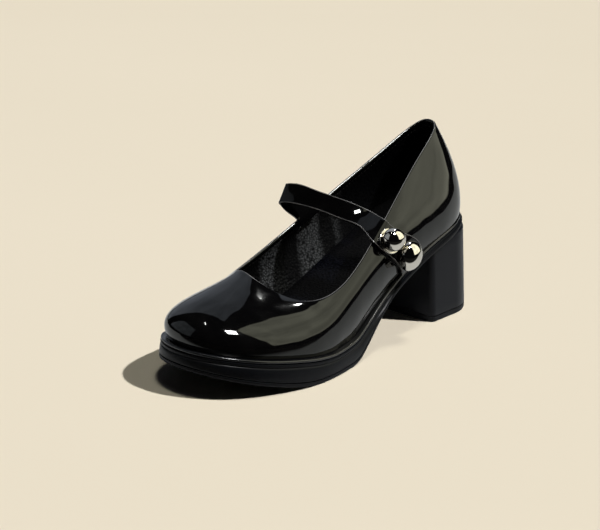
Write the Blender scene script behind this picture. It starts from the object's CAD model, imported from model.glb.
"""Left mary jane shoe: black patent upper on a platform sole with a block heel and a studded strap."""
import logging
import math
from dataclasses import dataclass
from enum import Enum
from typing import Any, Callable, NamedTuple, Sequence

import bpy
import numpy as np
from mathutils import Matrix, Vector


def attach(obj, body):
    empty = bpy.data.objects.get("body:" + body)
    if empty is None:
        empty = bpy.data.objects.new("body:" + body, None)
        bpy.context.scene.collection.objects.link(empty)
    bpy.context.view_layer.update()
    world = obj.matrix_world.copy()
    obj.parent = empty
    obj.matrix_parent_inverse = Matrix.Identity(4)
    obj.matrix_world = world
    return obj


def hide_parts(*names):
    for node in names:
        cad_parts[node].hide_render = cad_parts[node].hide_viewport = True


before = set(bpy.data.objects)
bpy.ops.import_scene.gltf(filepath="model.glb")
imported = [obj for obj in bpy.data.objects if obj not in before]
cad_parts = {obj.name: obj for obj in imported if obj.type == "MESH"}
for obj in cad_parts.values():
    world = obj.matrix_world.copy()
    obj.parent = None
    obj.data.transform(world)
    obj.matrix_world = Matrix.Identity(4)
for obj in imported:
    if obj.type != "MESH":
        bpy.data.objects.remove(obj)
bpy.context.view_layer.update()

log = logging.getLogger("mary_jane")

MM = 0.001
SET_BACK = 22.0  # the frame's origin, the middle of the heel's rest, from the back of the seat
GAP = 0.3

Place = Callable[[np.ndarray, np.ndarray], np.ndarray]
Line = Callable[[np.ndarray], np.ndarray]


class Station(NamedTuple):
    """One section of the last: feather line x, y; topline tx, ty, tz; the lean of each end's handle."""

    x: float
    y: float
    out: float
    up: float
    tx: float
    ty: float
    tz: float
    top_out: float
    top_up: float


class Section(NamedTuple):
    """The sole at one distance from the back of the seat: heights, and how far its edge stands out."""

    x: float
    feather: float
    tread: float
    edge: float


STATIONS = (
    Station(0, 0, 5.5, 19.5, 15, 0, 122, 8.5, -16.5),  # heel back
    Station(6, 18, 3, 18, 22, 9, 118, 10.5, -15.5),  # heel back, outer
    Station(27, 29, 3, 18, 46, 15, 104, 8, -13),  # heel side, outer
    Station(55, 32, 4, 15, 76, 22, 85, 9, -11),  # waist rear, outer
    Station(91, 33, 4, 13, 106, 29, 66, 9, -10),  # waist front, outer
    Station(128, 37, 4, 12, 134, 33, 50, 10, -8),  # ball rear, outer
    Station(162, 42, 3.5, 12, 155, 29, 44, 11, -5),  # ball, outer
    Station(193, 37, 5, 13, 166, 17, 46, 14, -3),  # toe side, outer
    Station(217, 23, 6.5, 15.5, 171, 4, 51, 20, -5),  # toe corner, outer
    Station(229, -2, 7.5, 17.5, 173, -6, 55.5, 29.5, -5.5),  # toe tip
    Station(222, -26, 9, 19.5, 172, -15, 56.5, 21, -13),  # toe corner, inner
    Station(201, -38, 7.3, 15, 168, -24, 53, 14, -14.5),  # toe side, inner
    Station(172, -40, 4, 14, 157, -32, 50, 11, -8),  # ball, inner
    Station(140, -35, 5, 14, 138, -34, 55, 9, -10),  # ball rear, inner
    Station(106, -27, 5, 15, 109, -30, 69, 8, -11),  # waist front, inner
    Station(70, -24, 5, 17, 75, -23, 87.6, 8, -13),  # waist rear, inner
    Station(35, -27, 5, 18, 44, -16, 104.8, 8, -14),  # heel side, inner
    Station(8, -19, 5, 20, 21, -9, 118.5, 9, -15),  # heel back, inner
)
SECTIONS = (
    Section(-8, 66, 58.5, 1.9),
    Section(0, 64, 57, 1.9),
    Section(20, 61, 54, 1.9),
    Section(45, 56, 49, 2.1),
    Section(75, 45, 38, 2.6),
    Section(90, 38, 31, 3.2),
    Section(105, 29.5, 20.5, 4),
    Section(120, 20.5, 7.5, 4.6),
    Section(130, 16, 1, 4.8),
    Section(137, 15, 0, 4.9),
    Section(150, 14.5, 0, 4.9),
    Section(168, 16, 0, 4.8),
    Section(180, 18, 1.2, 4.8),
    Section(200, 21.5, 5.5, 4.9),
    Section(220, 25.5, 11, 5),
    Section(240, 29, 17, 5),
)


class Last:
    """The form that upper, insole and sole are made on, in millimetres from the back of the seat."""

    def __init__(self) -> None:
        """Works out the spline controls of every column of the stations."""
        values = np.array(STATIONS, float)
        control = values.copy()
        for _ in range(60):
            around = np.roll(control, 1, 0) + 4 * control + np.roll(control, -1, 0)
            control += values - around / 6
        self.control = control
        self.count = len(values)
        self.rows = np.array(SECTIONS, float)

    def ring(self, rounds: np.ndarray) -> np.ndarray:
        """Every column of the stations at places round the shoe.

        Args:
            rounds: places in stations, from the back of the heel along the outer side.

        Returns:
            One row of columns for each place.
        """
        u = np.asarray(rounds, float) % self.count
        i = np.floor(u).astype(int)
        f = (u - i)[..., None]
        weights = ((1 - f) ** 3, 3 * f**3 - 6 * f**2 + 4, -3 * f**3 + 3 * f**2 + 3 * f + 1, f**3)
        total = sum(w * self.control[(i + k - 1) % self.count] for k, w in enumerate(weights))
        return total / 6

    def along(self, column: int, x: np.ndarray) -> np.ndarray:
        """A column of the sections, smooth and never beyond its rows.

        Args:
            column: which column of the sections.
            x: distances from the back of the seat.

        Returns:
            The column's value at each distance.
        """
        xs, zs = self.rows[:, 0], self.rows[:, column]
        width = np.diff(xs)
        rise = np.diff(zs) / width
        slope = np.concatenate([rise[:1], np.zeros(len(xs) - 2), rise[-1:]])
        same = rise[:-1] * rise[1:] > 0
        total = np.where(same, rise[:-1] + rise[1:], 1)
        slope[1:-1] = np.where(same, 2 * rise[:-1] * rise[1:] / total, 0)
        at = np.clip(np.asarray(x, float), xs[0], xs[-1])
        i = np.clip(np.searchsorted(xs, at, side="left") - 1, 0, len(xs) - 2)
        t = (at - xs[i]) / width[i]
        start = (1 + 2 * t) * (1 - t) ** 2 * zs[i] + t * (1 - t) ** 2 * width[i] * slope[i]
        end = t * t * (3 - 2 * t) * zs[i + 1] + t * t * (t - 1) * width[i] * slope[i + 1]
        return start + end

    def feather(self, x: np.ndarray) -> np.ndarray:
        """Height of the feather line."""
        return self.along(1, x)

    def tread(self, x: np.ndarray) -> np.ndarray:
        """Height of the tread's underside."""
        return self.along(2, x)

    def edge(self, rounds: np.ndarray) -> np.ndarray:
        """How far the sole's edge stands out past the feather line."""
        return self.along(3, self.ring(rounds)[..., 0])

    def outward(self, rounds: np.ndarray) -> np.ndarray:
        """Outward direction in plan on the feather line.

        Args:
            rounds: places round the shoe.

        Returns:
            A level unit vector for each place.
        """
        step = 1e-3
        d = self.ring(rounds + step)[..., :2] - self.ring(rounds - step)[..., :2]
        out = np.stack([-d[..., 1], d[..., 0], np.zeros(d.shape[:-1])], -1)
        return out / np.linalg.norm(out, axis=-1, keepdims=True)

    def point(self, rounds: np.ndarray, heights: np.ndarray) -> np.ndarray:
        """Points of the last's surface.

        Args:
            rounds: places round the shoe.
            heights: from the feather line (0) to the topline (1).

        Returns:
            A point for each place.
        """
        c = self.ring(rounds)
        out = self.outward(rounds)
        up = np.array([0.0, 0.0, 1.0])
        low = np.stack([c[..., 0], c[..., 1], self.feather(c[..., 0])], -1)
        low_handle = low + out * c[..., 2:3] + up * c[..., 3:4]
        high = c[..., 4:7]
        high_handle = high + out * c[..., 7:8] + up * c[..., 8:9]
        v = np.asarray(heights, float)[..., None]
        inner = 3 * v * (1 - v) ** 2 * low_handle + 3 * v * v * (1 - v) * high_handle
        return (1 - v) ** 3 * low + inner + v**3 * high

    def rise(self, rounds: np.ndarray, heights: np.ndarray) -> np.ndarray:
        """Direction up the side.

        Args:
            rounds: places round the shoe.
            heights: from the feather line (0) to the topline (1).

        Returns:
            A unit vector for each place.
        """
        step = 2e-3
        high = self.point(rounds, np.minimum(heights + step, 1))
        d = high - self.point(rounds, np.maximum(heights - step, 0))
        return d / np.linalg.norm(d, axis=-1, keepdims=True)

    def normal(self, rounds: np.ndarray, heights: np.ndarray) -> np.ndarray:
        """Outward normal of the side.

        Args:
            rounds: places round the shoe.
            heights: from the feather line (0) to the topline (1).

        Returns:
            A unit vector for each place.
        """
        step = 2e-3
        about = self.point(rounds + step, heights) - self.point(rounds - step, heights)
        n = np.cross(self.rise(rounds, heights), about)
        return n / np.linalg.norm(n, axis=-1, keepdims=True)

    def off(self, rounds: np.ndarray, heights: np.ndarray, distance: np.ndarray | float) -> np.ndarray:
        """Points at a distance outside the side."""
        return self.point(rounds, heights) + self.normal(rounds, heights) * np.asarray(distance)[..., None]

    def beside(self, rounds: np.ndarray, distance: np.ndarray, level: Line) -> np.ndarray:
        """Points at a distance from the feather line in plan, at the height that level(x) gives."""
        plan = self.ring(rounds)[..., :2] + self.outward(rounds)[..., :2] * np.asarray(distance)[..., None]
        return np.concatenate([plan, level(plan[..., 0])[..., None]], -1)

    def side_length(self, rounds: np.ndarray) -> np.ndarray:
        """Length of the side from feather line to topline."""
        steps = [self.point(rounds, np.full_like(rounds, h)) for h in np.linspace(0, 1, 9)]
        return sum(np.linalg.norm(b - a, axis=-1) for a, b in zip(steps, steps[1:]))


def to_frame(points: np.ndarray) -> np.ndarray:
    """Millimetres from the back of the seat into metres of the frame."""
    return (points - np.array([SET_BACK, 0.0, 0.0])) * MM


def unit(vectors: np.ndarray) -> np.ndarray:
    """Rows of vectors brought to length one."""
    return vectors / np.linalg.norm(vectors, axis=1, keepdims=True)


class Bench:
    """Modelling steps that all sub-assemblies share."""

    @staticmethod
    def clear() -> None:
        """Deselects everything, in object mode."""
        if bpy.context.object and bpy.context.object.mode != "OBJECT":
            bpy.ops.object.mode_set(mode="OBJECT")
        bpy.ops.object.select_all(action="DESELECT")

    @staticmethod
    def take(name: str) -> bpy.types.Object:
        """Names the object that an operator has just made.

        Args:
            name: the name for the object and its mesh.

        Returns:
            The object.
        """
        piece = bpy.context.object
        piece.name = name
        piece.data.name = name
        return piece

    @staticmethod
    def hold(piece: bpy.types.Object) -> None:
        """Makes one object the only selected and active one.

        Args:
            piece: the object.
        """
        Bench.clear()
        piece.select_set(True)
        bpy.context.view_layer.objects.active = piece

    @staticmethod
    def edit(piece: bpy.types.Object, *steps: Callable[[], Any]) -> None:
        """Runs edit-mode operators on the whole of a mesh.

        Args:
            piece: the object.
            steps: the operators' calls, in order.
        """
        Bench.hold(piece)
        bpy.ops.object.mode_set(mode="EDIT")
        bpy.ops.mesh.select_all(action="SELECT")
        for step in steps:
            step()
        bpy.ops.object.mode_set(mode="OBJECT")

    @staticmethod
    def weld(piece: bpy.types.Object, distance: float = 1e-6) -> None:
        """Merges doubles and turns all faces outwards.

        Args:
            piece: the object.
            distance: how near points are merged, in metres.
        """
        Bench.edit(
            piece,
            lambda: bpy.ops.mesh.remove_doubles(threshold=distance),
            lambda: bpy.ops.mesh.normals_make_consistent(inside=False),
        )

    @staticmethod
    def sheet(name: str, across: int, rows: int, place: Place) -> bpy.types.Object:
        """A flat grid laid on a form by a function of its own two directions.

        Args:
            name: the piece's name.
            across: how many faces it has in its first direction.
            rows: how many faces it has in its second direction.
            place: takes both directions, from 0 to 1, and gives points in millimetres.

        Returns:
            The laid sheet, with a UV map of the flat grid.
        """
        Bench.clear()
        bpy.ops.mesh.primitive_grid_add(x_subdivisions=across, y_subdivisions=rows, size=1, calc_uvs=True)
        piece = Bench.take(name)
        flat = np.empty(len(piece.data.vertices) * 3, np.float32)
        piece.data.vertices.foreach_get("co", flat)
        flat = flat.reshape(-1, 3).astype(float) + 0.5
        laid = to_frame(place(np.clip(flat[:, 0], 0, 1), np.clip(flat[:, 1], 0, 1)))
        piece.data.vertices.foreach_set("co", laid.astype(np.float32).ravel())
        piece.data.update()
        return piece

    @staticmethod
    def join(name: str, parts: Sequence[bpy.types.Object]) -> bpy.types.Object:
        """Joins objects into the first one.

        Args:
            name: the joined piece's name.
            parts: the objects.

        Returns:
            The joined piece.
        """
        Bench.hold(parts[0])
        for part in parts:
            part.select_set(True)
        if len(parts) > 1:
            bpy.ops.object.join()
        return Bench.take(name)

    @staticmethod
    def apply(piece: bpy.types.Object, kind: str, **settings: Any) -> None:
        """Adds a modifier and applies it.

        Args:
            piece: the object.
            kind: the modifier's type.
            settings: the modifier's own settings.
        """
        Bench.hold(piece)
        modifier = piece.modifiers.new(kind.title(), kind)
        for name, value in settings.items():
            setattr(modifier, name, value)
        bpy.ops.object.modifier_apply(modifier=modifier.name)

    @staticmethod
    def smooth(piece: bpy.types.Object, angle: float) -> None:
        """Smooth shading, except across edges sharper than an angle in degrees."""
        Bench.hold(piece)
        bpy.ops.object.shade_smooth_by_angle(angle=math.radians(angle))

    @staticmethod
    def copy_along(name: str, model: bpy.types.Object, places: Sequence[Matrix]) -> bpy.types.Object:
        """Copies one small shape to many places and joins the copies.

        Args:
            name: the joined piece's name.
            model: the shape, which is used up.
            places: where each copy goes.

        Returns:
            The joined piece.
        """
        copies = []
        for place in places:
            mesh = model.data.copy()
            mesh.transform(place)
            copy = bpy.data.objects.new(name, mesh)
            bpy.context.scene.collection.objects.link(copy)
            copies.append(copy)
        bpy.data.objects.remove(model)
        return Bench.join(name, copies)


class Signal:
    """A shader socket that takes part in Python sums."""

    def __init__(self, shader: "Shader", socket: bpy.types.NodeSocket | None) -> None:
        """Keeps the socket and the shader that it belongs to."""
        self.shader = shader
        self.socket = socket

    def _math(self, operation: str, *values: "Signal | float") -> "Signal":
        """A Math node on values."""
        return self.shader.node("ShaderNodeMath", {"operation": operation}, dict(enumerate(values)))

    def __add__(self, other: "Signal | float") -> "Signal":
        """Sum."""
        return self._math("ADD", self, other)

    def __radd__(self, other: float) -> "Signal":
        """Sum, reflected."""
        return self._math("ADD", other, self)

    def __sub__(self, other: "Signal | float") -> "Signal":
        """Difference."""
        return self._math("SUBTRACT", self, other)

    def __rsub__(self, other: float) -> "Signal":
        """Difference, reflected."""
        return self._math("SUBTRACT", other, self)

    def __mul__(self, other: "Signal | float") -> "Signal":
        """Product."""
        return self._math("MULTIPLY", self, other)

    def __rmul__(self, other: float) -> "Signal":
        """Product, reflected."""
        return self._math("MULTIPLY", other, self)

    def __pow__(self, other: float) -> "Signal":
        """Power."""
        return self._math("POWER", self, other)

    def cosine(self) -> "Signal":
        """Cosine."""
        return self._math("COSINE", self)


class Shader:
    """The nodes of one material or of the world, all built by a single node method."""

    def __init__(self, name: str, owner: bpy.types.ID | None = None) -> None:
        """Starts an empty node tree.

        Args:
            name: the name of a new material.
            owner: what holds the nodes instead of a new material.
        """
        self.owner = owner or bpy.data.materials.new(name)
        self.owner.use_nodes = True
        self.tree = self.owner.node_tree
        self.tree.nodes.clear()

    def node(
        self, kind: str, settings: dict | None = None, sockets: dict | None = None, out: int | str = 0
    ) -> Signal:
        """Adds a node.

        Args:
            kind: the node's type.
            settings: the node's own settings; "stops" sets a colour ramp's stops.
            sockets: values or signals of its inputs, by name or number.
            out: the output that the returned signal reads.

        Returns:
            The signal of one output.
        """
        made = self.tree.nodes.new(kind)
        for name, value in (settings or {}).items():
            if name == "stops":
                self._stops(made.color_ramp, value)
            else:
                setattr(made, name, value)
        for name, value in (sockets or {}).items():
            if isinstance(value, Signal):
                self.tree.links.new(value.socket, made.inputs[name])
            else:
                made.inputs[name].default_value = value
        return Signal(self, made.outputs[out] if made.outputs else None)

    @staticmethod
    def _stops(ramp: bpy.types.ColorRamp, stops: Sequence[tuple[float, float]]) -> None:
        """Sets the stops of a ramp.

        Args:
            ramp: the node's ramp.
            stops: the position and the grey of each stop.
        """
        while len(ramp.elements) < len(stops):
            ramp.elements.new(0.5)
        for element, (position, grey) in zip(ramp.elements, stops):
            element.position = position
            element.color = (grey, grey, grey, 1)

    def place(self) -> Signal:
        """The piece's own coordinates."""
        return self.node("ShaderNodeTexCoord", out="Object")

    def part(self, vector: Signal, axis: str) -> Signal:
        """One part of a vector: X, Y or Z."""
        return self.node("ShaderNodeSeparateXYZ", {}, {"Vector": vector}, out=axis)

    def noise(self, size: float, detail: float) -> Signal:
        """Noise with features of a size in metres."""
        sockets = {"Vector": self.place(), "Scale": 1 / size, "Detail": detail}
        return self.node("ShaderNodeTexNoise", {}, sockets)

    def ramp(self, value: Signal, stops: Sequence[tuple[float, float]]) -> Signal:
        """A ramp of greys on a value."""
        return self.node("ShaderNodeValToRGB", {"stops": stops}, {"Fac": value})

    def fade(self, value: Signal, start: float, end: float, kind: str = "LINEAR") -> Signal:
        """A value brought to 0 at its start and 1 at its end, and held there."""
        sockets = {"Value": value, "From Min": start, "From Max": end}
        return self.node("ShaderNodeMapRange", {"interpolation_type": kind}, sockets)

    def blend(self, factor: Signal | float, first: Any, second: Any) -> Signal:
        """Mixes two colours."""
        sockets = {"Factor": factor, 6: first, 7: second}
        return self.node("ShaderNodeMix", {"data_type": "RGBA"}, sockets, out=2)

    def bump(self, height: Signal, depth: float, strength: float, under: Signal | None = None) -> Signal:
        """A bump.

        Args:
            height: its height, of 0 to 1.
            depth: what a height of 1 stands for, in metres.
            strength: how much of it is used.
            under: another bump that it lies over.

        Returns:
            The bumped normal.
        """
        sockets: dict[str, Any] = {"Height": height, "Distance": depth, "Strength": strength}
        if under:
            sockets["Normal"] = under
        return self.node("ShaderNodeBump", {}, sockets)

    def surface(self, **sockets: Any) -> bpy.types.Material:
        """Ends the material in a Principled shader.

        Args:
            sockets: the shader's inputs, with _ for spaces in their names.

        Returns:
            The material.
        """
        named = {name.replace("_", " "): value for name, value in sockets.items()}
        shader = self.node("ShaderNodeBsdfPrincipled", {}, named)
        self.node("ShaderNodeOutputMaterial", {}, {"Surface": shader})
        return self.owner


def rgb(red: float, green: float, blue: float) -> tuple[float, float, float, float]:
    """A colour from display values of 0 to 255."""
    shares = [c / 255 for c in (red, green, blue)]
    return (*(c / 12.92 if c <= 0.0404 else ((c + 0.055) / 1.055) ** 2.4 for c in shares), 1.0)


@dataclass(frozen=True)
class Patent:
    """Black patent leather: a lacquer face with a faint orange peel over soft hills."""

    name: str = "patent_leather"
    colour: tuple = rgb(6, 6, 7)
    dusty: tuple = rgb(12, 12, 13)
    tint: tuple = (0.94, 0.96, 0.92, 1)
    peel: float = 0.004
    hills: float = 0.022
    gloss: float = 0.5

    def material(self) -> bpy.types.Material:
        """Builds the material.

        Returns:
            The material.
        """
        s = Shader(self.name)
        dust = s.ramp(s.noise(0.012, 6), [(0.45, 0), (0.8, 1)])
        hills = s.bump(s.noise(self.hills, 1), 0.0012, 0.6)
        return s.surface(
            Base_Color=s.blend(dust, self.colour, self.dusty),
            Roughness=0.035 + dust * 0.05,
            Normal=s.bump(s.noise(self.peel, 2), 0.00002, 0.35, under=hills),
            Specular_IOR_Level=self.gloss,
            Specular_Tint=self.tint,
        )


class GrainLook(Enum):
    """Where a grained leather sits: its low and high colour, its roughness and gloss."""

    LINING = (rgb(2, 2, 3), rgb(92, 95, 98), 0.45, 0.15)
    SOCK = (rgb(1, 1, 3), rgb(15, 17, 26), 0.55, 0.06)


@dataclass(frozen=True)
class GrainedLeather:
    """Pebbled leather inside the shoe: small shiny tops between dark creases, rubbed pale in bands."""

    look: GrainLook
    pebble: float = 0.0013
    band_pitch: float = 0.028
    band_middle: float = 0.10428
    bands_rear: tuple = (0.05, 0.06)
    bands_front: tuple = (0.124, 0.116)
    unrubbed: float = 0.05

    def _rubbed(self, s: Shader) -> Signal:
        """How far the leather is rubbed.

        Args:
            s: the material's shader.

        Returns:
            A share that comes and goes along the shoe.
        """
        length = s.part(s.place(), "X") + (s.noise(0.012, 2) - 0.5) * 0.005
        waves = ((length - self.band_middle) * (2 * math.pi / self.band_pitch)).cosine()
        reach = s.fade(length, *self.bands_rear) * s.fade(length, *self.bands_front)
        return self.unrubbed + s.fade(waves, -0.6, 0.1) * reach

    def material(self) -> bpy.types.Material:
        """Builds the material.

        Returns:
            The material.
        """
        s = Shader(f"leather_{self.look.name.lower()}")
        low, high, roughness, gloss = self.look.value
        cells = s.node(
            "ShaderNodeTexVoronoi",
            {"feature": "SMOOTH_F1"},
            {"Vector": s.place(), "Scale": 1 / self.pebble, "Smoothness": 0.3, "Randomness": 1},
        )
        pebbles = s.bump(1 - cells, 0.0005, 1)
        return s.surface(
            Base_Color=s.blend((1 - cells) ** 1.6 * self._rubbed(s), low, high),
            Roughness=roughness + cells * 0.2,
            Normal=s.bump(s.noise(0.0005, 3), 0.00015, 0.6, under=pebbles),
            IOR=1.5,
            Specular_IOR_Level=gloss,
        )


class SoleLook(Enum):
    """Where a moulded surface sits on the sole: its colour, roughness and gloss."""

    WELT = (rgb(13, 14, 17), 0.2, 0.7)
    WALL = (rgb(11, 13, 18), 0.4, 0.16)
    TREAD = (rgb(10, 12, 17), 0.5, 0.16)
    HEEL = (rgb(20, 22, 28), 0.38, 0.16)
    LIFT = (rgb(12, 13, 18), 0.5, 0.2)


@dataclass(frozen=True)
class Moulded:
    """Satin moulded or covered sole material with a fine sand grain."""

    look: SoleLook
    grain: float = 0.0007
    patch: float = 0.018
    darkening: float = 0.75

    def material(self) -> bpy.types.Material:
        """Builds the material.

        Returns:
            The material.
        """
        s = Shader(f"sole_{self.look.name.lower()}")
        colour, roughness, gloss = self.look.value
        patches = s.noise(self.patch, 4)
        dark = (*(c * self.darkening for c in colour[:3]), 1.0)
        return s.surface(
            Base_Color=s.blend(patches, dark, colour),
            Roughness=(roughness - 0.06) + patches * 0.12,
            Normal=s.bump(s.noise(self.grain, 3), 0.00005, 0.5),
            Specular_IOR_Level=gloss,
        )


@dataclass(frozen=True)
class Chrome:
    """Polished plated metal with faint handling marks."""

    name: str = "polished_metal"
    clean: tuple = rgb(232, 228, 218)
    handled: tuple = rgb(212, 207, 196)

    def material(self) -> bpy.types.Material:
        """Builds the material.

        Returns:
            The material.
        """
        s = Shader(self.name)
        marks = s.noise(0.003, 5)
        colour = s.blend(marks, self.clean, self.handled)
        return s.surface(Base_Color=colour, Metallic=1.0, Roughness=0.03 + marks * 0.04)


@dataclass(frozen=True)
class Thread:
    """Waxed black sewing thread."""

    name: str = "thread"
    low: tuple = rgb(20, 20, 22)
    high: tuple = rgb(40, 40, 43)

    def material(self) -> bpy.types.Material:
        """Builds the material."""
        s = Shader(self.name)
        return s.surface(Base_Color=s.blend(s.noise(0.0006, 2), self.low, self.high), Roughness=0.35)


@dataclass(frozen=True)
class EdgePaint:
    """Worn lacquer on a cut edge, which shows as a thin pale line."""

    name: str = "edge_paint"
    fresh: tuple = rgb(38, 38, 40)
    worn: tuple = rgb(120, 120, 122)

    def material(self) -> bpy.types.Material:
        """Builds the material.

        Returns:
            The material.
        """
        s = Shader(self.name)
        wear = s.noise(0.008, 3)
        return s.surface(Base_Color=s.blend(wear, self.fresh, self.worn), Roughness=0.3 + wear * 0.2)


@dataclass(frozen=True)
class PaleFloor:
    """Matte floor paint, which glossy faces mirror as cool grey and as black in one direction."""

    name: str = "floor"
    low: tuple = rgb(229, 221, 205)
    high: tuple = rgb(233, 225, 210)
    mirrored: tuple = rgb(198, 202, 207)
    dark: tuple = rgb(5, 5, 5)
    dark_side: tuple = (0.73, 0.68, 0)
    dark_from: tuple = (0.165, 0.19)

    def material(self) -> bpy.types.Material:
        """Builds the material.

        Returns:
            The material.
        """
        s = Shader(self.name)
        glossy = s.node("ShaderNodeLightPath", out="Is Glossy Ray")
        sides = {0: s.place(), 1: self.dark_side}
        ahead = s.node("ShaderNodeVectorMath", {"operation": "DOT_PRODUCT"}, sides, out="Value")
        seen = s.blend(glossy, s.blend(s.noise(0.6, 3), self.low, self.high), self.mirrored)
        colour = s.blend(glossy * s.fade(ahead, *self.dark_from), seen, self.dark)
        return s.surface(Base_Color=colour, Roughness=0.8, Specular_IOR_Level=0.1)


@dataclass(frozen=True)
class Glow:
    """The light of a card: uneven, and soft along the card's edges."""

    name: str
    colour: tuple
    radiance: float
    fade: float
    dark_rim: float = 0.12

    def material(self) -> bpy.types.Material:
        """Builds the material.

        Returns:
            The material.
        """
        s = Shader(self.name)
        sides = s.node("ShaderNodeTexCoord", out="UV")
        u, v = s.part(sides, "X"), s.part(sides, "Y")
        inside = (u * (1 - u) * v * (1 - v) * 16) ** 0.5 + (s.noise(0.35, 2) - 0.5) * 0.5
        edge = s.fade(inside, self.dark_rim, self.dark_rim + self.fade, "SMOOTHSTEP")
        glow = edge * (0.45 + 1.1 * s.noise(0.25, 3)) * self.radiance
        light = s.node("ShaderNodeEmission", {}, {"Color": (*self.colour, 1), "Strength": glow})
        s.node("ShaderNodeOutputMaterial", {}, {"Surface": light})
        return s.owner


def dress(piece: bpy.types.Object, material: bpy.types.Material, slot: str, *nodes: str) -> None:
    """Gives a finished piece its material and its place in the frame.

    Args:
        piece: the piece.
        material: its finish.
        slot: the material slot that it belongs to.
        nodes: the CAD nodes that it stands for.
    """
    piece.data.materials.clear()
    piece.data.materials.append(material)
    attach(piece, "root")
    if nodes:
        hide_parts(*nodes)
    log.info("%s: %d faces", piece.name, len(piece.data.polygons))


def bead(name: str, path: np.ndarray, radius: float, closed: bool) -> bpy.types.Object:
    """A thin round bead along a path.

    Args:
        name: the piece's name.
        path: points in shoe coordinates; a closed one does not repeat its first point.
        radius: the bead's radius in millimetres; an open bead tapers to points.
        closed: whether the last point joins the first.

    Returns:
        The closed bead.
    """
    count, sides, taper = len(path), 8, 3
    ahead = np.roll(path, -1, axis=0) if closed else np.vstack([path[1:], path[-1:]])
    before = np.roll(path, 1, axis=0) if closed else np.vstack([path[:1], path[:-1]])
    along = unit(ahead - before)
    first = unit(np.cross(along, (0.0, 0.0, 1.0)))
    second = np.cross(first, along)
    rows = count if closed else count - 1

    def place(s: np.ndarray, t: np.ndarray) -> np.ndarray:
        """Lays the sheet round the path.

        Args:
            s: how far round the bead.
            t: how far along the path.

        Returns:
            Points on the bead.
        """
        row = np.rint(t * rows).astype(int)
        size = np.full(len(t), radius)
        if not closed:
            size *= np.minimum(1, np.minimum(row, rows - row) / taper)
        row = row % count
        angle = 2 * np.pi * s
        ring = np.cos(angle)[:, None] * first[row] + np.sin(angle)[:, None] * second[row]
        return path[row] + size[:, None] * ring

    piece = Bench.sheet(name, sides, rows, place)
    Bench.weld(piece)
    Bench.smooth(piece, 80)
    return piece


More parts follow.
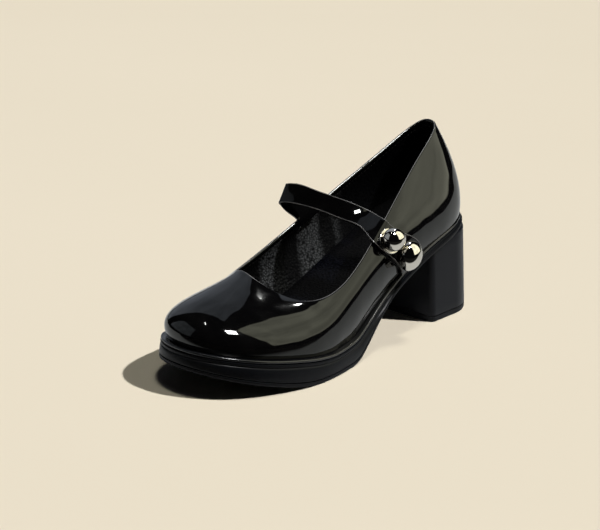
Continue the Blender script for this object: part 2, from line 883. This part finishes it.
@dataclass
class Upper:
    """Patent shell, its lining, and the stitches and painted edge along the topline."""

    last: Last
    wall: float = 2.0
    rounds: int = 324
    rows: int = 40
    turn: int = 8
    fold: float = 3.2
    lining_rounds: int = 216
    lining_rows: int = 40
    lining_thick: float = 0.6
    lining_clear: float = 0.02
    lining_foot: float = 0.01
    stitch_drop: float = 1.1
    stitch_pitch: float = 2.7
    stitch: tuple = (1.9, 0.42, 0.34)
    edge_points: int = 540
    edge_drop: float = 0.2
    edge_inset: float = 0.65
    edge_radius: float = 0.34

    def shell(self) -> bpy.types.Object:
        """The hollow wall: up the outside, round over the edge and down the inside.

        Returns:
            The closed wall.
        """
        last, radius = self.last, self.wall / 2
        heights = np.linspace(0, 1, self.rows + 1)
        total = 2 * self.rows + self.turn

        def place(s: np.ndarray, t: np.ndarray) -> np.ndarray:
            """Lays the sheet round the wall, with its last row on its first.

            Args:
                s: how far round the shoe.
                t: how far round the wall's section.

            Returns:
                Points on the wall.
            """
            rounds = s * last.count
            step = np.rint(t * (total + 1)).astype(int) % (total + 1)
            outside = np.clip(step, 0, self.rows)
            inside = np.clip(total - step, 0, self.rows)
            angle = np.clip(step - self.rows, 0, self.turn) / self.turn * np.pi
            height = np.where(step <= self.rows, heights[outside], heights[inside])
            height = np.minimum(height, 1 - radius / last.side_length(rounds))
            normal = last.normal(rounds, height)
            centre = last.point(rounds, height) - normal * radius
            rise = last.rise(rounds, height)
            return centre + radius * (np.cos(angle)[:, None] * normal + np.sin(angle)[:, None] * rise)

        shell = Bench.sheet("upper_shell", self.rounds, total + 1, place)
        Bench.weld(shell)
        Bench.smooth(shell, 50)
        return shell

    def lining(self) -> bpy.types.Object:
        """A thin inner layer that ends a fold's width under the edge.

        Returns:
            The closed layer.
        """
        last = self.last
        outer, inner = self.wall + self.lining_clear, self.wall + self.lining_thick

        def place(s: np.ndarray, t: np.ndarray) -> np.ndarray:
            """Lays the sheet up the layer's inner face and down its outer one.

            Args:
                s: how far round the shoe.
                t: how far round the layer's section.

            Returns:
                Points on the layer.
            """
            rounds = s * last.count
            top = 1 - self.fold / last.side_length(rounds)
            back = t > 0.5
            share = np.where(back, 2 - 2 * t, 2 * t)
            height = self.lining_foot + (top - self.lining_foot) * share
            return last.off(rounds, height, np.where(back, -outer, -inner))

        lining = Bench.sheet("lining", self.lining_rounds, self.lining_rows, place)
        Bench.weld(lining)
        Bench.smooth(lining, 40)
        return lining

    def stitches(self) -> bpy.types.Object:
        """One row of stitches through the lining's edge, all round the topline.

        Returns:
            The joined stitches.
        """
        last, face = self.last, self.wall + self.lining_thick
        rounds = np.linspace(0, last.count, 4001)
        height = 1 - (self.fold + self.stitch_drop) / last.side_length(rounds)
        line = last.off(rounds, height, -(face + 0.12))
        lengths = np.concatenate([[0], np.cumsum(np.linalg.norm(np.diff(line, axis=0), axis=1))])
        count = int(lengths[-1] / self.stitch_pitch)
        at = np.interp(np.arange(count) * lengths[-1] / count, lengths, rounds)
        depth = -(face + self.lining_clear)
        return self._stitch_row(at, lambda r: np.interp(r, rounds, height), depth)

    def _stitch_row(self, rounds: np.ndarray, height: Line, distance: float) -> bpy.types.Object:
        """Stitches lying along a line on the last.

        Args:
            rounds: where the stitches are, round the shoe.
            height: gives the line's height at those places.
            distance: how far outside the last's surface they lie.

        Returns:
            The joined stitches.
        """
        last, step = self.last, 0.01
        Bench.clear()
        bpy.ops.mesh.primitive_uv_sphere_add(segments=6, ring_count=5, radius=0.5)
        model = Bench.take("topline_stitches")
        Bench.edit(model, lambda: bpy.ops.transform.resize(value=[size * MM for size in self.stitch]))
        Bench.smooth(model, 80)
        centre = last.off(rounds, height(rounds), distance)
        ahead = last.off(rounds + step, height((rounds + step) % last.count), distance)
        normal = last.normal(rounds, height(rounds))
        along = unit(ahead - centre)
        side = np.cross(normal, along)
        places = [
            Matrix.Translation(Vector(c)) @ Matrix((a, b, n)).transposed().to_4x4()
            for c, a, b, n in zip(to_frame(centre), along, side, normal)
        ]
        return Bench.copy_along("topline_stitches", model, places)

    def edge(self) -> bpy.types.Object:
        """The paint round the topline's edge.

        Returns:
            The closed bead.
        """
        rounds = np.linspace(0, self.last.count, self.edge_points, endpoint=False)
        height = 1 - self.edge_drop / self.last.side_length(rounds)
        return bead("topline_edge", self.last.off(rounds, height, -self.edge_inset), self.edge_radius, True)

    def build(self) -> None:
        """Makes and dresses all pieces."""
        dress(self.shell(), Patent().material(), "patent", "upper")
        dress(self.lining(), GrainedLeather(GrainLook.LINING).material(), "patent")
        dress(self.stitches(), Thread().material(), "patent")
        dress(self.edge(), EdgePaint().material(), "patent")


class Ring(NamedTuple):
    """One ring of a sole part: its distance from the feather line and its height, by place and x."""

    distance: Line
    level: Line


class Groove(NamedTuple):
    """A row of the platform's wall: how far back it is, its share of the welt's step, and its drop."""

    back: float
    lean: float
    drop: float
    most: float


@dataclass
class Sole:
    """Insole, welt, platform and outsole, all cut to the feather line."""

    last: Last
    rounds: int = 288
    cover_rows: int = 12
    welt_thick: float = 2.0
    welt_back: float = 1.2
    welt_under: float = 5.0
    welt_turn: int = 8
    tread_thick: float = 2.6
    insole_thick: float = 6.5
    insole_clear: float = 2.7
    grooves: tuple = (
        Groove(0.05, 0.45, 3.2, 0.66),
        Groove(0.1, 0.7, 2.5, 0.62),
        Groove(0.5, 0.75, 2.15, 0.58),
        Groove(0.5, 0.8, 1.85, 0.54),
        Groove(0.1, 0.8, 1.6, 0.5),
        Groove(0.0, 0.8, 1.3, 0.4),
        Groove(0.0, 0.8, 0.45, 0.2),
        Groove(0.15, 0.8, 0.15, 0.1),
    )

    def _wall(self, name: str, rings: Sequence[Ring]) -> bpy.types.Object:
        """A wall through rings.

        Args:
            name: the wall's name.
            rings: its rings, lowest first.

        Returns:
            The open wall.
        """
        last = self.last

        def place(s: np.ndarray, t: np.ndarray) -> np.ndarray:
            """Lays the sheet's rows on the rings.

            Args:
                s: how far round the shoe.
                t: how far through the rings.

            Returns:
                Points on the rings.
            """
            rounds = s * last.count
            row = np.rint(t * (len(rings) - 1)).astype(int)
            points = np.zeros((len(s), 3))
            for i, ring in enumerate(rings):
                here = row == i
                points[here] = last.beside(rounds[here], ring.distance(rounds[here]), ring.level)
            return points

        return Bench.sheet(name, self.rounds, len(rings) - 1, place)

    def _cover(self, name: str, ring: Ring) -> bpy.types.Object:
        """A face across the shoe from one side of a ring to the other.

        Args:
            name: the face's name.
            ring: the ring that it closes.

        Returns:
            The face.
        """
        last = self.last

        def place(s: np.ndarray, t: np.ndarray) -> np.ndarray:
            """Lays the sheet between the ring's two sides.

            Args:
                s: how far along the shoe.
                t: how far across it.

            Returns:
                Points on the face.
            """
            outer, inner = s * last.count / 2, last.count - s * last.count / 2
            near = last.beside(outer, ring.distance(outer), ring.level)
            far = last.beside(inner, ring.distance(inner), ring.level)
            points = near + (far - near) * t[:, None]
            points[:, 2] = ring.level(points[:, 0])
            return points

        return Bench.sheet(name, self.rounds // 2, self.cover_rows, place)

    def _plate(self, name: str, rings: Sequence[Ring], angle: float) -> bpy.types.Object:
        """A closed plate: a wall through rings, and a face below and above.

        Args:
            name: the plate's name.
            rings: its rings, lowest first.
            angle: the sharpest edge in degrees that is shaded smooth.

        Returns:
            The plate.
        """
        parts = [self._wall(name, rings), self._cover("below", rings[0]), self._cover("above", rings[-1])]
        piece = Bench.join(name, parts)
        Bench.weld(piece, 2e-6)
        Bench.smooth(piece, angle)
        return piece

    def insole(self) -> bpy.types.Object:
        """The sock on its board, with a soft upper edge.

        Returns:
            The plate.
        """
        feather, clear, thick = self.last.feather, self.insole_clear, self.insole_thick
        rows = ((0, 0.15), (0, thick - 0.8), (0.25, thick - 0.25), (0.9, thick))
        rings = [
            Ring(lambda r, back=back: np.full_like(r, -clear - back), lambda x, up=up: feather(x) + up)
            for back, up in rows
        ]
        return self._plate("insole_sock", rings, 60)

    def welt(self) -> bpy.types.Object:
        """The narrow strip between upper and platform, with a round outer edge.

        Returns:
            The closed strip.
        """
        edge, feather, half = self.last.edge, self.last.feather, self.welt_thick / 2
        rings = [
            Ring(
                lambda r, a=a: edge(r) - self.welt_back - half * (1 - np.cos(a)),
                lambda x, a=a: feather(x) - GAP - half + half * np.sin(a),
            )
            for a in np.linspace(-np.pi / 2, np.pi / 2, self.welt_turn + 1)
        ]
        for drop in (0, self.welt_thick):
            under = Ring(
                lambda r: np.full_like(r, -self.welt_under),
                lambda x, drop=drop: feather(x) - GAP - drop,
            )
            rings.append(under)
        piece = self._wall("welt_strip", rings + rings[:1])
        Bench.weld(piece)
        Bench.smooth(piece, 50)
        return piece

    def platform(self) -> bpy.types.Object:
        """The thick middle of the sole: a bead under the welt, a groove and a sloping wall.

        Returns:
            The plate.
        """
        last = self.last

        def under(x: np.ndarray) -> np.ndarray:
            """Height of the platform's underside."""
            return last.tread(x) + self.tread_thick + GAP

        def top(x: np.ndarray) -> np.ndarray:
            """Height of the platform's upper face."""
            return last.feather(x) - self.welt_thick - 2 * GAP

        def below_top(drop: float, most: float) -> Line:
            """A level under the upper face, by a drop or at most a share of the thickness."""
            return lambda x: top(x) - np.minimum(drop, most * (top(x) - under(x)))

        def above_under(up: float, most: float) -> Line:
            """A level over the underside, by a rise or at most a share of the thickness."""
            return lambda x: under(x) + np.minimum(up, most * (top(x) - under(x)))

        def inset(back: float, lean: float) -> Line:
            """A distance inside the sole's edge, with a share of the welt's step."""
            return lambda r: last.edge(r) - back - self.welt_back * lean

        core = -(self.welt_under + 2 * GAP)
        rings = [
            Ring(inset(0.5, 0), under),
            Ring(inset(0.1, 0), above_under(0.3, 0.1)),
            Ring(inset(0, 0), above_under(0.7, 0.2)),
            *(Ring(inset(g.back, g.lean), below_top(g.drop, g.most)) for g in self.grooves),
            Ring(inset(0.6, 0.8), top),
            Ring(lambda r: np.full_like(r, core), top),
            Ring(lambda r: np.full_like(r, core), lambda x: last.feather(x) - GAP),
        ]
        return self._plate("platform_body", rings, 40)

    def outsole(self) -> bpy.types.Object:
        """The tread layer with a rounded lower edge.

        Returns:
            The plate.
        """
        last, thick = self.last, self.tread_thick
        rows = [(1.3, 0), (0.6, 0.15), (0.15, 0.6), (0, 1.2)]
        rows += [(0, thick - 0.35), (0.15, thick - 0.1), (0.5, thick)]
        rings = [
            Ring(lambda r, back=back: last.edge(r) - back, lambda x, up=up: last.tread(x) + up)
            for back, up in rows
        ]
        return self._plate("outsole_tread", rings, 40)

    def build(self) -> None:
        """Makes and dresses all pieces."""
        dress(self.insole(), GrainedLeather(GrainLook.SOCK).material(), "sock", "insole")
        dress(self.welt(), Moulded(SoleLook.WELT).material(), "welt", "welt")
        dress(self.platform(), Moulded(SoleLook.WALL).material(), "sole", "platform")
        dress(self.outsole(), Moulded(SoleLook.TREAD).material(), "tread", "outsole")


class Slice(NamedTuple):
    """One level of the heel: how far its plan grows past the outline, and its height by x."""

    grow: float
    level: Line


@dataclass
class Heel:
    """The D-shaped block and its top lift."""

    last: Last
    back: float = -4.5
    breast: float = 47.0
    half_width: float = 31.2
    bow: float = 27.0
    fullness: float = 1.04
    corner: float = 3.4
    flare: float = 2.2
    lift_top: float = 3.6
    wall_rows: int = 10
    rounds: int = 240
    cover_rows: int = 10

    def _outline(self, share: np.ndarray, grow: float) -> np.ndarray:
        """Plan of the D.

        Args:
            share: how far round it, from the middle of the back.
            grow: how far the plan grows past the outline.

        Returns:
            Points in plan.
        """
        bend = np.linspace(0, np.pi / 2, 40)
        xs = self.back + self.bow - (self.bow + grow) * np.cos(bend) ** self.fullness
        ys = (self.half_width + grow) * np.sin(bend)
        turn = np.linspace(0, np.pi / 2, 12)
        cx, cy = self.breast - self.corner, self.half_width + grow - self.corner
        xs = np.concatenate([xs, cx + self.corner * np.sin(turn), [self.breast]])
        ys = np.concatenate([ys, cy + self.corner * np.cos(turn), [0]])
        walk = np.concatenate([[0], np.cumsum(np.hypot(np.diff(xs), np.diff(ys)))])
        half = np.where(share <= 0.5, share, 1 - share) * 2 * walk[-1]
        x, y = np.interp(half, walk, xs), np.interp(half, walk, ys)
        return np.stack([x, np.where(share <= 0.5, y, -y)], -1)

    def _cover(self, name: str, end: Slice) -> bpy.types.Object:
        """A face across the D.

        Args:
            name: the face's name.
            end: the level that it closes.

        Returns:
            The face.
        """

        def place(s: np.ndarray, t: np.ndarray) -> np.ndarray:
            """Lays the sheet between the D's two sides.

            Args:
                s: how far along the heel.
                t: how far across it.

            Returns:
                Points on the face.
            """
            near, far = self._outline(s / 2, end.grow), self._outline(1 - s / 2, end.grow)
            plan = near + (far - near) * t[:, None]
            return np.concatenate([plan, end.level(plan[:, 0])[:, None]], -1)

        return Bench.sheet(name, self.rounds // 2, self.cover_rows, place)

    def _solid(self, name: str, slices: Sequence[Slice]) -> bpy.types.Object:
        """A closed block through levels.

        Args:
            name: the block's name.
            slices: its levels, lowest first.

        Returns:
            The block.
        """

        def place(s: np.ndarray, t: np.ndarray) -> np.ndarray:
            """Lays the sheet's rows on the levels.

            Args:
                s: how far round the heel.
                t: how far up it.

            Returns:
                Points on the wall.
            """
            row = np.rint(t * (len(slices) - 1)).astype(int)
            points = np.zeros((len(s), 3))
            for i, (grow, level) in enumerate(slices):
                here = row == i
                points[here, :2] = self._outline(s[here], grow)
                points[here, 2] = level(points[here, 0])
            return points

        wall = Bench.sheet(name, self.rounds, len(slices) - 1, place)
        piece = Bench.join(name, [wall, self._cover("below", slices[0]), self._cover("above", slices[-1])])
        Bench.weld(piece, 2e-6)
        Bench.smooth(piece, 30)
        return piece

    def block(self) -> bpy.types.Object:
        """The block, which narrows upwards to the sole.

        Returns:
            The closed block.
        """
        base, soft = self.lift_top + GAP, 0.6

        def top(x: np.ndarray) -> np.ndarray:
            """Height of the block's upper face."""
            return self.last.tread(x) - 2 * GAP

        def between(share: float) -> Line:
            """A level at a share of the way up the wall."""
            return lambda x: base + soft + (top(x) - 1 - base - soft) * share

        foot = ((-0.5, 0), (-0.1, 0.2), (0, soft))
        head = ((0, soft), (0.2, 0.2), (soft, 0))
        shares = [i / self.wall_rows for i in range(1, self.wall_rows)]
        slices = [Slice(grow, lambda x, up=up: base + up + 0 * x) for grow, up in foot]
        slices += [Slice(-self.flare * share, between(share)) for share in shares]
        slices += [Slice(-self.flare - back, lambda x, drop=drop: top(x) - drop) for back, drop in head]
        return self._solid("heel_body", slices)

    def lift(self) -> bpy.types.Object:
        """The top lift with soft edges.

        Returns:
            The closed plate.
        """
        top = self.lift_top
        rows = ((-0.9, 0), (-0.3, 0.15), (0, 0.6), (0, top - 0.4), (-0.1, top - 0.15), (-0.45, top))
        return self._solid("heel_top_lift", [Slice(grow, lambda x, up=up: up + 0 * x) for grow, up in rows])

    def build(self) -> None:
        """Makes and dresses both pieces."""
        dress(self.block(), Moulded(SoleLook.HEEL).material(), "heel", "heel_block")
        dress(self.lift(), Moulded(SoleLook.LIFT).material(), "tread", "heel_lift")


class Band(NamedTuple):
    """A row of the strap on the last: a height, and its two edges round the shoe."""

    height: float
    front: float
    rear: float


class Span(NamedTuple):
    """A row of the strap in the open: its front and rear edge."""

    front: tuple[float, float, float]
    rear: tuple[float, float, float]


@dataclass
class Strap:
    """The strap over the instep, and the paint on its two edges."""

    last: Last
    thick: float = 1.8
    wall: float = 2.0
    columns: int = 13
    steps: int = 220
    round_edge: float = 0.6
    paint_from: float = 0.02
    paint_to: float = 0.9
    paint_points: int = 160
    paint_inset: float = 0.3
    paint_radius: float = 0.36
    on_quarter: tuple = (
        Band(0.04, 3.8, 3.27),
        Band(0.14, 3.82, 3.27),
        Band(0.25, 3.84, 3.27),
        Band(0.38, 3.86, 3.28),
        Band(0.5, 3.87, 3.31),
        Band(0.62, 3.88, 3.35),
        Band(0.75, 3.9, 3.39),
        Band(0.88, 3.92, 3.42),
        Band(1, 3.95, 3.45),
    )
    free: tuple = (
        Span((101, 16, 72.5), (89, 14, 79)),
        Span((103, 2, 75.5), (95, 2, 84.5)),
        Span((107, -13, 79), (101, -15, 88.5)),
        Span((112, -27.5, 81), (105, -29, 91.5)),
        Span((114, -37, 80), (108, -36.5, 91)),
        Span((113, -35, 76), (105, -34.5, 86)),
        Span((110.5, -27.3, 71.5), (97.5, -26, 80)),
    )
    inside: tuple = (Band(1, 14.0, 14.46), Band(0.95, 14.0, 14.46))

    def rows(self) -> np.ndarray:
        """Points of the band's underside.

        Returns:
            A row of points for each section.
        """
        shares = np.linspace(0, 1, self.columns)

        def placed(band: Band, distance: float) -> np.ndarray:
            """Points of one row on the last."""
            rounds = band.front + (band.rear - band.front) * shares
            return self.last.off(rounds, np.full(self.columns, band.height), distance)

        def open_row(span: Span) -> np.ndarray:
            """Points of one row in the open."""
            front, rear = np.array(span.front), np.array(span.rear)
            return front + (rear - front) * shares[:, None]

        rows = [placed(band, 1.5 * GAP) for band in self.on_quarter]
        rows += [open_row(span) for span in self.free]
        rows += [placed(band, -(self.wall + 3 * GAP + self.thick)) for band in self.inside]
        return np.array(rows)

    def _along(self, t: np.ndarray, column: np.ndarray) -> np.ndarray:
        """Points of the underside on smooth curves through the rows.

        Args:
            t: how far along the strap, from the welt to the inner end.
            column: which column, from the front edge to the rear one.

        Returns:
            A point for each place.
        """
        rows = self.rows()
        end_row = len(rows) - 1
        u = np.clip(t, 0, 1) * end_row
        i = np.clip(np.floor(u).astype(int), 0, end_row - 1)
        f = (u - i)[:, None]
        before, start = rows[np.maximum(i - 1, 0), column], rows[i, column]
        end, after = rows[i + 1, column], rows[np.minimum(i + 2, end_row), column]
        first, second = (end - before) / 2, (after - start) / 2
        place = (2 * f**3 - 3 * f**2 + 1) * start + (-2 * f**3 + 3 * f**2) * end
        return place + (f**3 - 2 * f**2 + f) * first + (f**3 - f**2) * second

    def band(self) -> bpy.types.Object:
        """The strap itself, with rounded edges.

        Returns:
            The closed band.
        """
        faces = self.columns - 1

        def place(s: np.ndarray, t: np.ndarray) -> np.ndarray:
            """Lays the sheet across and along the strap."""
            return self._along(t, np.rint(s * faces).astype(int))

        strap = Bench.sheet("strap_band", faces, self.steps, place)
        Bench.apply(strap, "SOLIDIFY", thickness=self.thick * MM, offset=1)
        Bench.apply(strap, "BEVEL", width=self.round_edge * MM, segments=4, limit_method="ANGLE")
        Bench.smooth(strap, 60)
        return strap

    def edge(self, name: str, column: int, inwards: int) -> bpy.types.Object:
        """The paint along one edge.

        Args:
            name: the piece's name.
            column: the edge's column.
            inwards: the step to the next column, 1 or -1.

        Returns:
            The closed bead.
        """
        shares = np.linspace(self.paint_from, self.paint_to, self.paint_points)
        edge = self._along(shares, np.full(self.paint_points, column))
        across = unit(self._along(shares, np.full(self.paint_points, column + inwards)) - edge)
        out = unit(inwards * np.cross(np.gradient(edge, axis=0), across))
        line = edge + across * self.paint_inset - out * (self.thick - self.paint_inset)
        return bead(name, line, self.paint_radius, False)

    def build(self) -> None:
        """Makes and dresses all pieces."""
        dress(self.band(), Patent("strap_patent", gloss=0.32).material(), "patent", "strap")
        dress(self.edge("strap_front_edge", 0, 1), EdgePaint().material(), "patent")
        dress(self.edge("strap_rear_edge", self.columns - 1, -1), EdgePaint().material(), "patent")


class Seat(NamedTuple):
    """Where a stud sits: round the shoe, and up its side."""

    round: float
    height: float


@dataclass
class Studs:
    """The metal ornament on the strap: a rimmed ball and an egg."""

    last: Last
    radius: float = 7.2
    sink: float = 3.2
    long: float = 1.3
    wide: float = 1.1
    taper: float = 0.16
    turn: float = 70.0
    washer_radius: float = 7.9
    washer_thick: float = 0.9
    washer_edge: float = 0.35
    strap_face: float = 1.5 * GAP + 1.8
    ball_seat: Seat = Seat(3.69, 0.77)
    egg_seat: Seat = Seat(3.66, 0.37)

    def _seat(self, piece: bpy.types.Object, seat: Seat, lift: float) -> None:
        """Turns a piece from the bench onto the strap: its Z along the normal, its X down the shoe.

        Args:
            piece: the piece, made about the origin.
            seat: where it sits.
            lift: how far its origin stands off the last.
        """
        at, high = np.array([seat.round]), np.array([seat.height])
        normal = self.last.normal(at, high)
        down = self.last.point(at, high - 0.05) - self.last.point(at, high + 0.05)
        side = unit(np.cross(normal, down))
        turn = Matrix((np.cross(side, normal)[0], side[0], normal[0])).transposed().to_4x4()
        place = to_frame(self.last.off(at, high, lift))[0]
        piece.data.transform(Matrix.Translation(Vector(place)) @ turn)

    def _ball(self, name: str) -> bpy.types.Object:
        """A ball cut flat where it sits.

        Args:
            name: the ball's name.

        Returns:
            The closed ball, about the origin.
        """
        Bench.clear()
        bpy.ops.mesh.primitive_uv_sphere_add(segments=64, ring_count=32, radius=self.radius * MM)
        ball = Bench.take(name)
        cut = {"plane_co": (0, 0, -self.sink * MM), "plane_no": (0, 0, -1)}
        Bench.edit(ball, lambda: bpy.ops.mesh.bisect(**cut, use_fill=True, clear_outer=True))
        Bench.weld(ball)
        Bench.smooth(ball, 50)
        return ball

    def rim(self) -> bpy.types.Object:
        """The washer under the ball.

        Returns:
            The seated washer.
        """
        Bench.clear()
        size = {"radius": self.washer_radius * MM, "depth": self.washer_thick * MM}
        bpy.ops.mesh.primitive_cylinder_add(vertices=64, **size)
        washer = Bench.take("stud_rim")
        Bench.apply(washer, "BEVEL", width=self.washer_edge * MM, segments=3)
        Bench.smooth(washer, 50)
        self._seat(washer, self.ball_seat, self.strap_face + 2 * GAP + self.washer_thick / 2)
        return washer

    def ball(self) -> bpy.types.Object:
        """The round stud.

        Returns:
            The seated stud.
        """
        ball = self._ball("stud_ball")
        self._seat(ball, self.ball_seat, self.strap_face + 3 * GAP + self.washer_thick + self.sink)
        return ball

    def egg(self) -> bpy.types.Object:
        """The egg-shaped stud.

        Returns:
            The seated stud.
        """
        egg = self._ball("stud_long")
        for vertex in egg.data.vertices:
            along = vertex.co.x / (self.radius * MM)
            vertex.co.y *= self.wide * (1 - self.taper * along)
            vertex.co.x *= self.long
        egg.data.transform(Matrix.Rotation(math.radians(-self.turn), 4, "Z"))
        self._seat(egg, self.egg_seat, self.strap_face + 3 * GAP + self.sink)
        return egg

    def build(self) -> None:
        """Makes and dresses the ornament."""
        metal = Chrome().material()
        dress(self.rim(), metal, "metal", "stud_washer")
        dress(self.ball(), metal, "metal", "stud_round")
        dress(self.egg(), metal, "metal", "stud_egg")


@dataclass
class Studio:
    """Pale floor, soft lights and the camera."""

    azimuth: float = 43.0
    elevation: float = 18.9
    distance: float = 1.015
    target: tuple = (0.1182, 0.0031, 0.0557)
    lens: float = 102.0
    floor_size: float = 12.0
    middle: tuple = (0.1, 0, 0.06)
    card_reach: float = 1.4
    room_mirrored: tuple = (0.003, 0.003, 0.0033, 1)
    room_seen: tuple = (0.79, 0.716, 0.568, 1)

    def camera(self) -> None:
        """The camera, level and without shift."""
        a, e = math.radians(self.azimuth), math.radians(self.elevation)
        back = Vector((math.cos(a) * math.cos(e), math.sin(a) * math.cos(e), math.sin(e)))
        data = bpy.data.cameras.new("camera")
        data.lens = self.lens
        data.sensor_width = 36
        data.sensor_fit = "HORIZONTAL"
        eye = bpy.data.objects.new("camera", data)
        eye.location = Vector(self.target) + back * self.distance
        eye.rotation_euler = back.to_track_quat("Z", "Y").to_euler()
        bpy.context.scene.collection.objects.link(eye)
        bpy.context.scene.camera = eye

    def floor(self) -> None:
        """A wide matte floor."""
        Bench.clear()
        bpy.ops.mesh.primitive_plane_add(size=self.floor_size)
        floor = Bench.take("floor")
        floor.data.materials.append(PaleFloor().material())

    def world(self) -> None:
        """A dim room: pale where the camera sees it, nearly black in reflections."""
        world = bpy.data.worlds.new("studio")
        s = Shader(world.name, world)
        seen = s.node("ShaderNodeLightPath", out="Is Camera Ray")
        colour = s.blend(seen, self.room_mirrored, self.room_seen)
        room = s.node("ShaderNodeBackground", {}, {"Color": colour})
        s.node("ShaderNodeOutputWorld", {}, {"Surface": room})
        bpy.context.scene.world = world

    def lamp(self, name: str, towards: tuple, size: tuple, radiance: float, reach: float) -> None:
        """A small rectangular lamp that looks at the shoe and only glints in it.

        Args:
            name: the lamp's name.
            towards: where it stands, as a direction from the shoe.
            size: width and height in metres.
            radiance: how bright its face is.
            reach: its distance in metres.
        """
        data = bpy.data.lights.new(name, "AREA")
        data.shape = "RECTANGLE"
        data.size, data.size_y = size
        data.energy = radiance * math.pi * size[0] * size[1]
        lamp = bpy.data.objects.new(name, data)
        direction = Vector(towards).normalized()
        lamp.location = Vector(self.middle) + direction * reach
        lamp.rotation_euler = direction.to_track_quat("Z", "Y").to_euler()
        lamp.visible_camera = lamp.visible_diffuse = False
        bpy.context.scene.collection.objects.link(lamp)

    def card(self, corners: Sequence[tuple[float, float]], glow: Glow) -> None:
        """A glowing card that the patent leather mirrors.

        Args:
            corners: azimuth and elevation of its corners as the shoe sees them, in degrees, going round.
            glow: its light, which also gives its name.
        """
        round_, up = np.radians(np.array(corners)).T
        towards = np.stack([np.cos(round_) * np.cos(up), np.sin(round_) * np.cos(up), np.sin(up)], axis=1)
        places = np.array(self.middle) + self.card_reach * towards
        Bench.clear()
        bpy.ops.mesh.primitive_grid_add(x_subdivisions=8, y_subdivisions=8, size=1)
        card = Bench.take(glow.name)
        for vertex in card.data.vertices:
            u, v = vertex.co.x + 0.5, vertex.co.y + 0.5
            below = places[0] * (1 - u) + places[1] * u
            above = places[3] * (1 - u) + places[2] * u
            vertex.co = below * (1 - v) + above * v
        card.data.materials.append(glow.material())
        card.visible_camera = card.visible_diffuse = card.visible_shadow = False

    @staticmethod
    def sun(name: str, towards: tuple, strength: float, angle: float, colour: tuple) -> None:
        """A distant light for the floor and the matte faces, unseen in reflections.

        Args:
            name: the light's name.
            towards: where it stands, as a direction from the shoe.
            strength: how bright it is.
            angle: how wide it looks, in degrees.
            colour: its tint.
        """
        data = bpy.data.lights.new(name, "SUN")
        data.energy = strength
        data.angle = math.radians(angle)
        data.color = colour
        sun = bpy.data.objects.new(name, data)
        sun.rotation_euler = Vector(towards).to_track_quat("Z", "Y").to_euler()
        sun.visible_glossy = False
        bpy.context.scene.collection.objects.link(sun)

    def build(self) -> None:
        """Sets up the whole studio."""
        self.camera()
        self.floor()
        self.world()
        self.sun("key", towards=(-0.42, 0.62, 1.0), strength=3.3, angle=2, colour=(1, 0.97, 0.92))
        self.sun("fill", towards=(-0.08, 0.14, 1.0), strength=0.62, angle=9, colour=(1, 0.98, 0.84))
        window = Glow("window", colour=(1, 0.98, 0.78), radiance=1.4, fade=0.12)
        far_wall = Glow("far_wall", colour=(0.85, 0.92, 1.05), radiance=0.4, fade=0.12)
        side_wall = Glow("side_wall", colour=(0.85, 0.92, 1), radiance=0.3, fade=0.3)
        self.card(((92, 10), (160, 4), (178, 60), (92, 78)), window)
        self.card(((-153, 4), (-92, 0), (-142, 86), (-157, 66)), far_wall)
        self.card(((-80, 6), (-14, 6), (-20, 50), (-75, 45)), side_wall)
        self.lamp("spark_back", (-0.138, -0.037, 0.211), size=(0.011, 0.011), radiance=400, reach=0.255)
        self.lamp("spark_front", (0.15, 0.25, 0.95), size=(0.22, 0.2), radiance=110, reach=1.2)
        self.lamp("spark_inner", (0.21, -0.26, 0.94), size=(0.12, 0.02), radiance=50, reach=1.2)
        bpy.context.scene.view_settings.view_transform = "Standard"


def main() -> None:
    """Builds the shoe piece by piece."""
    logging.basicConfig(level=logging.INFO, format="%(name)s: %(message)s")
    last = Last()
    Studio().build()
    for part in (Upper(last), Sole(last), Heel(last), Strap(last), Studs(last)):
        part.build()


if __name__ == "__main__":
    main()
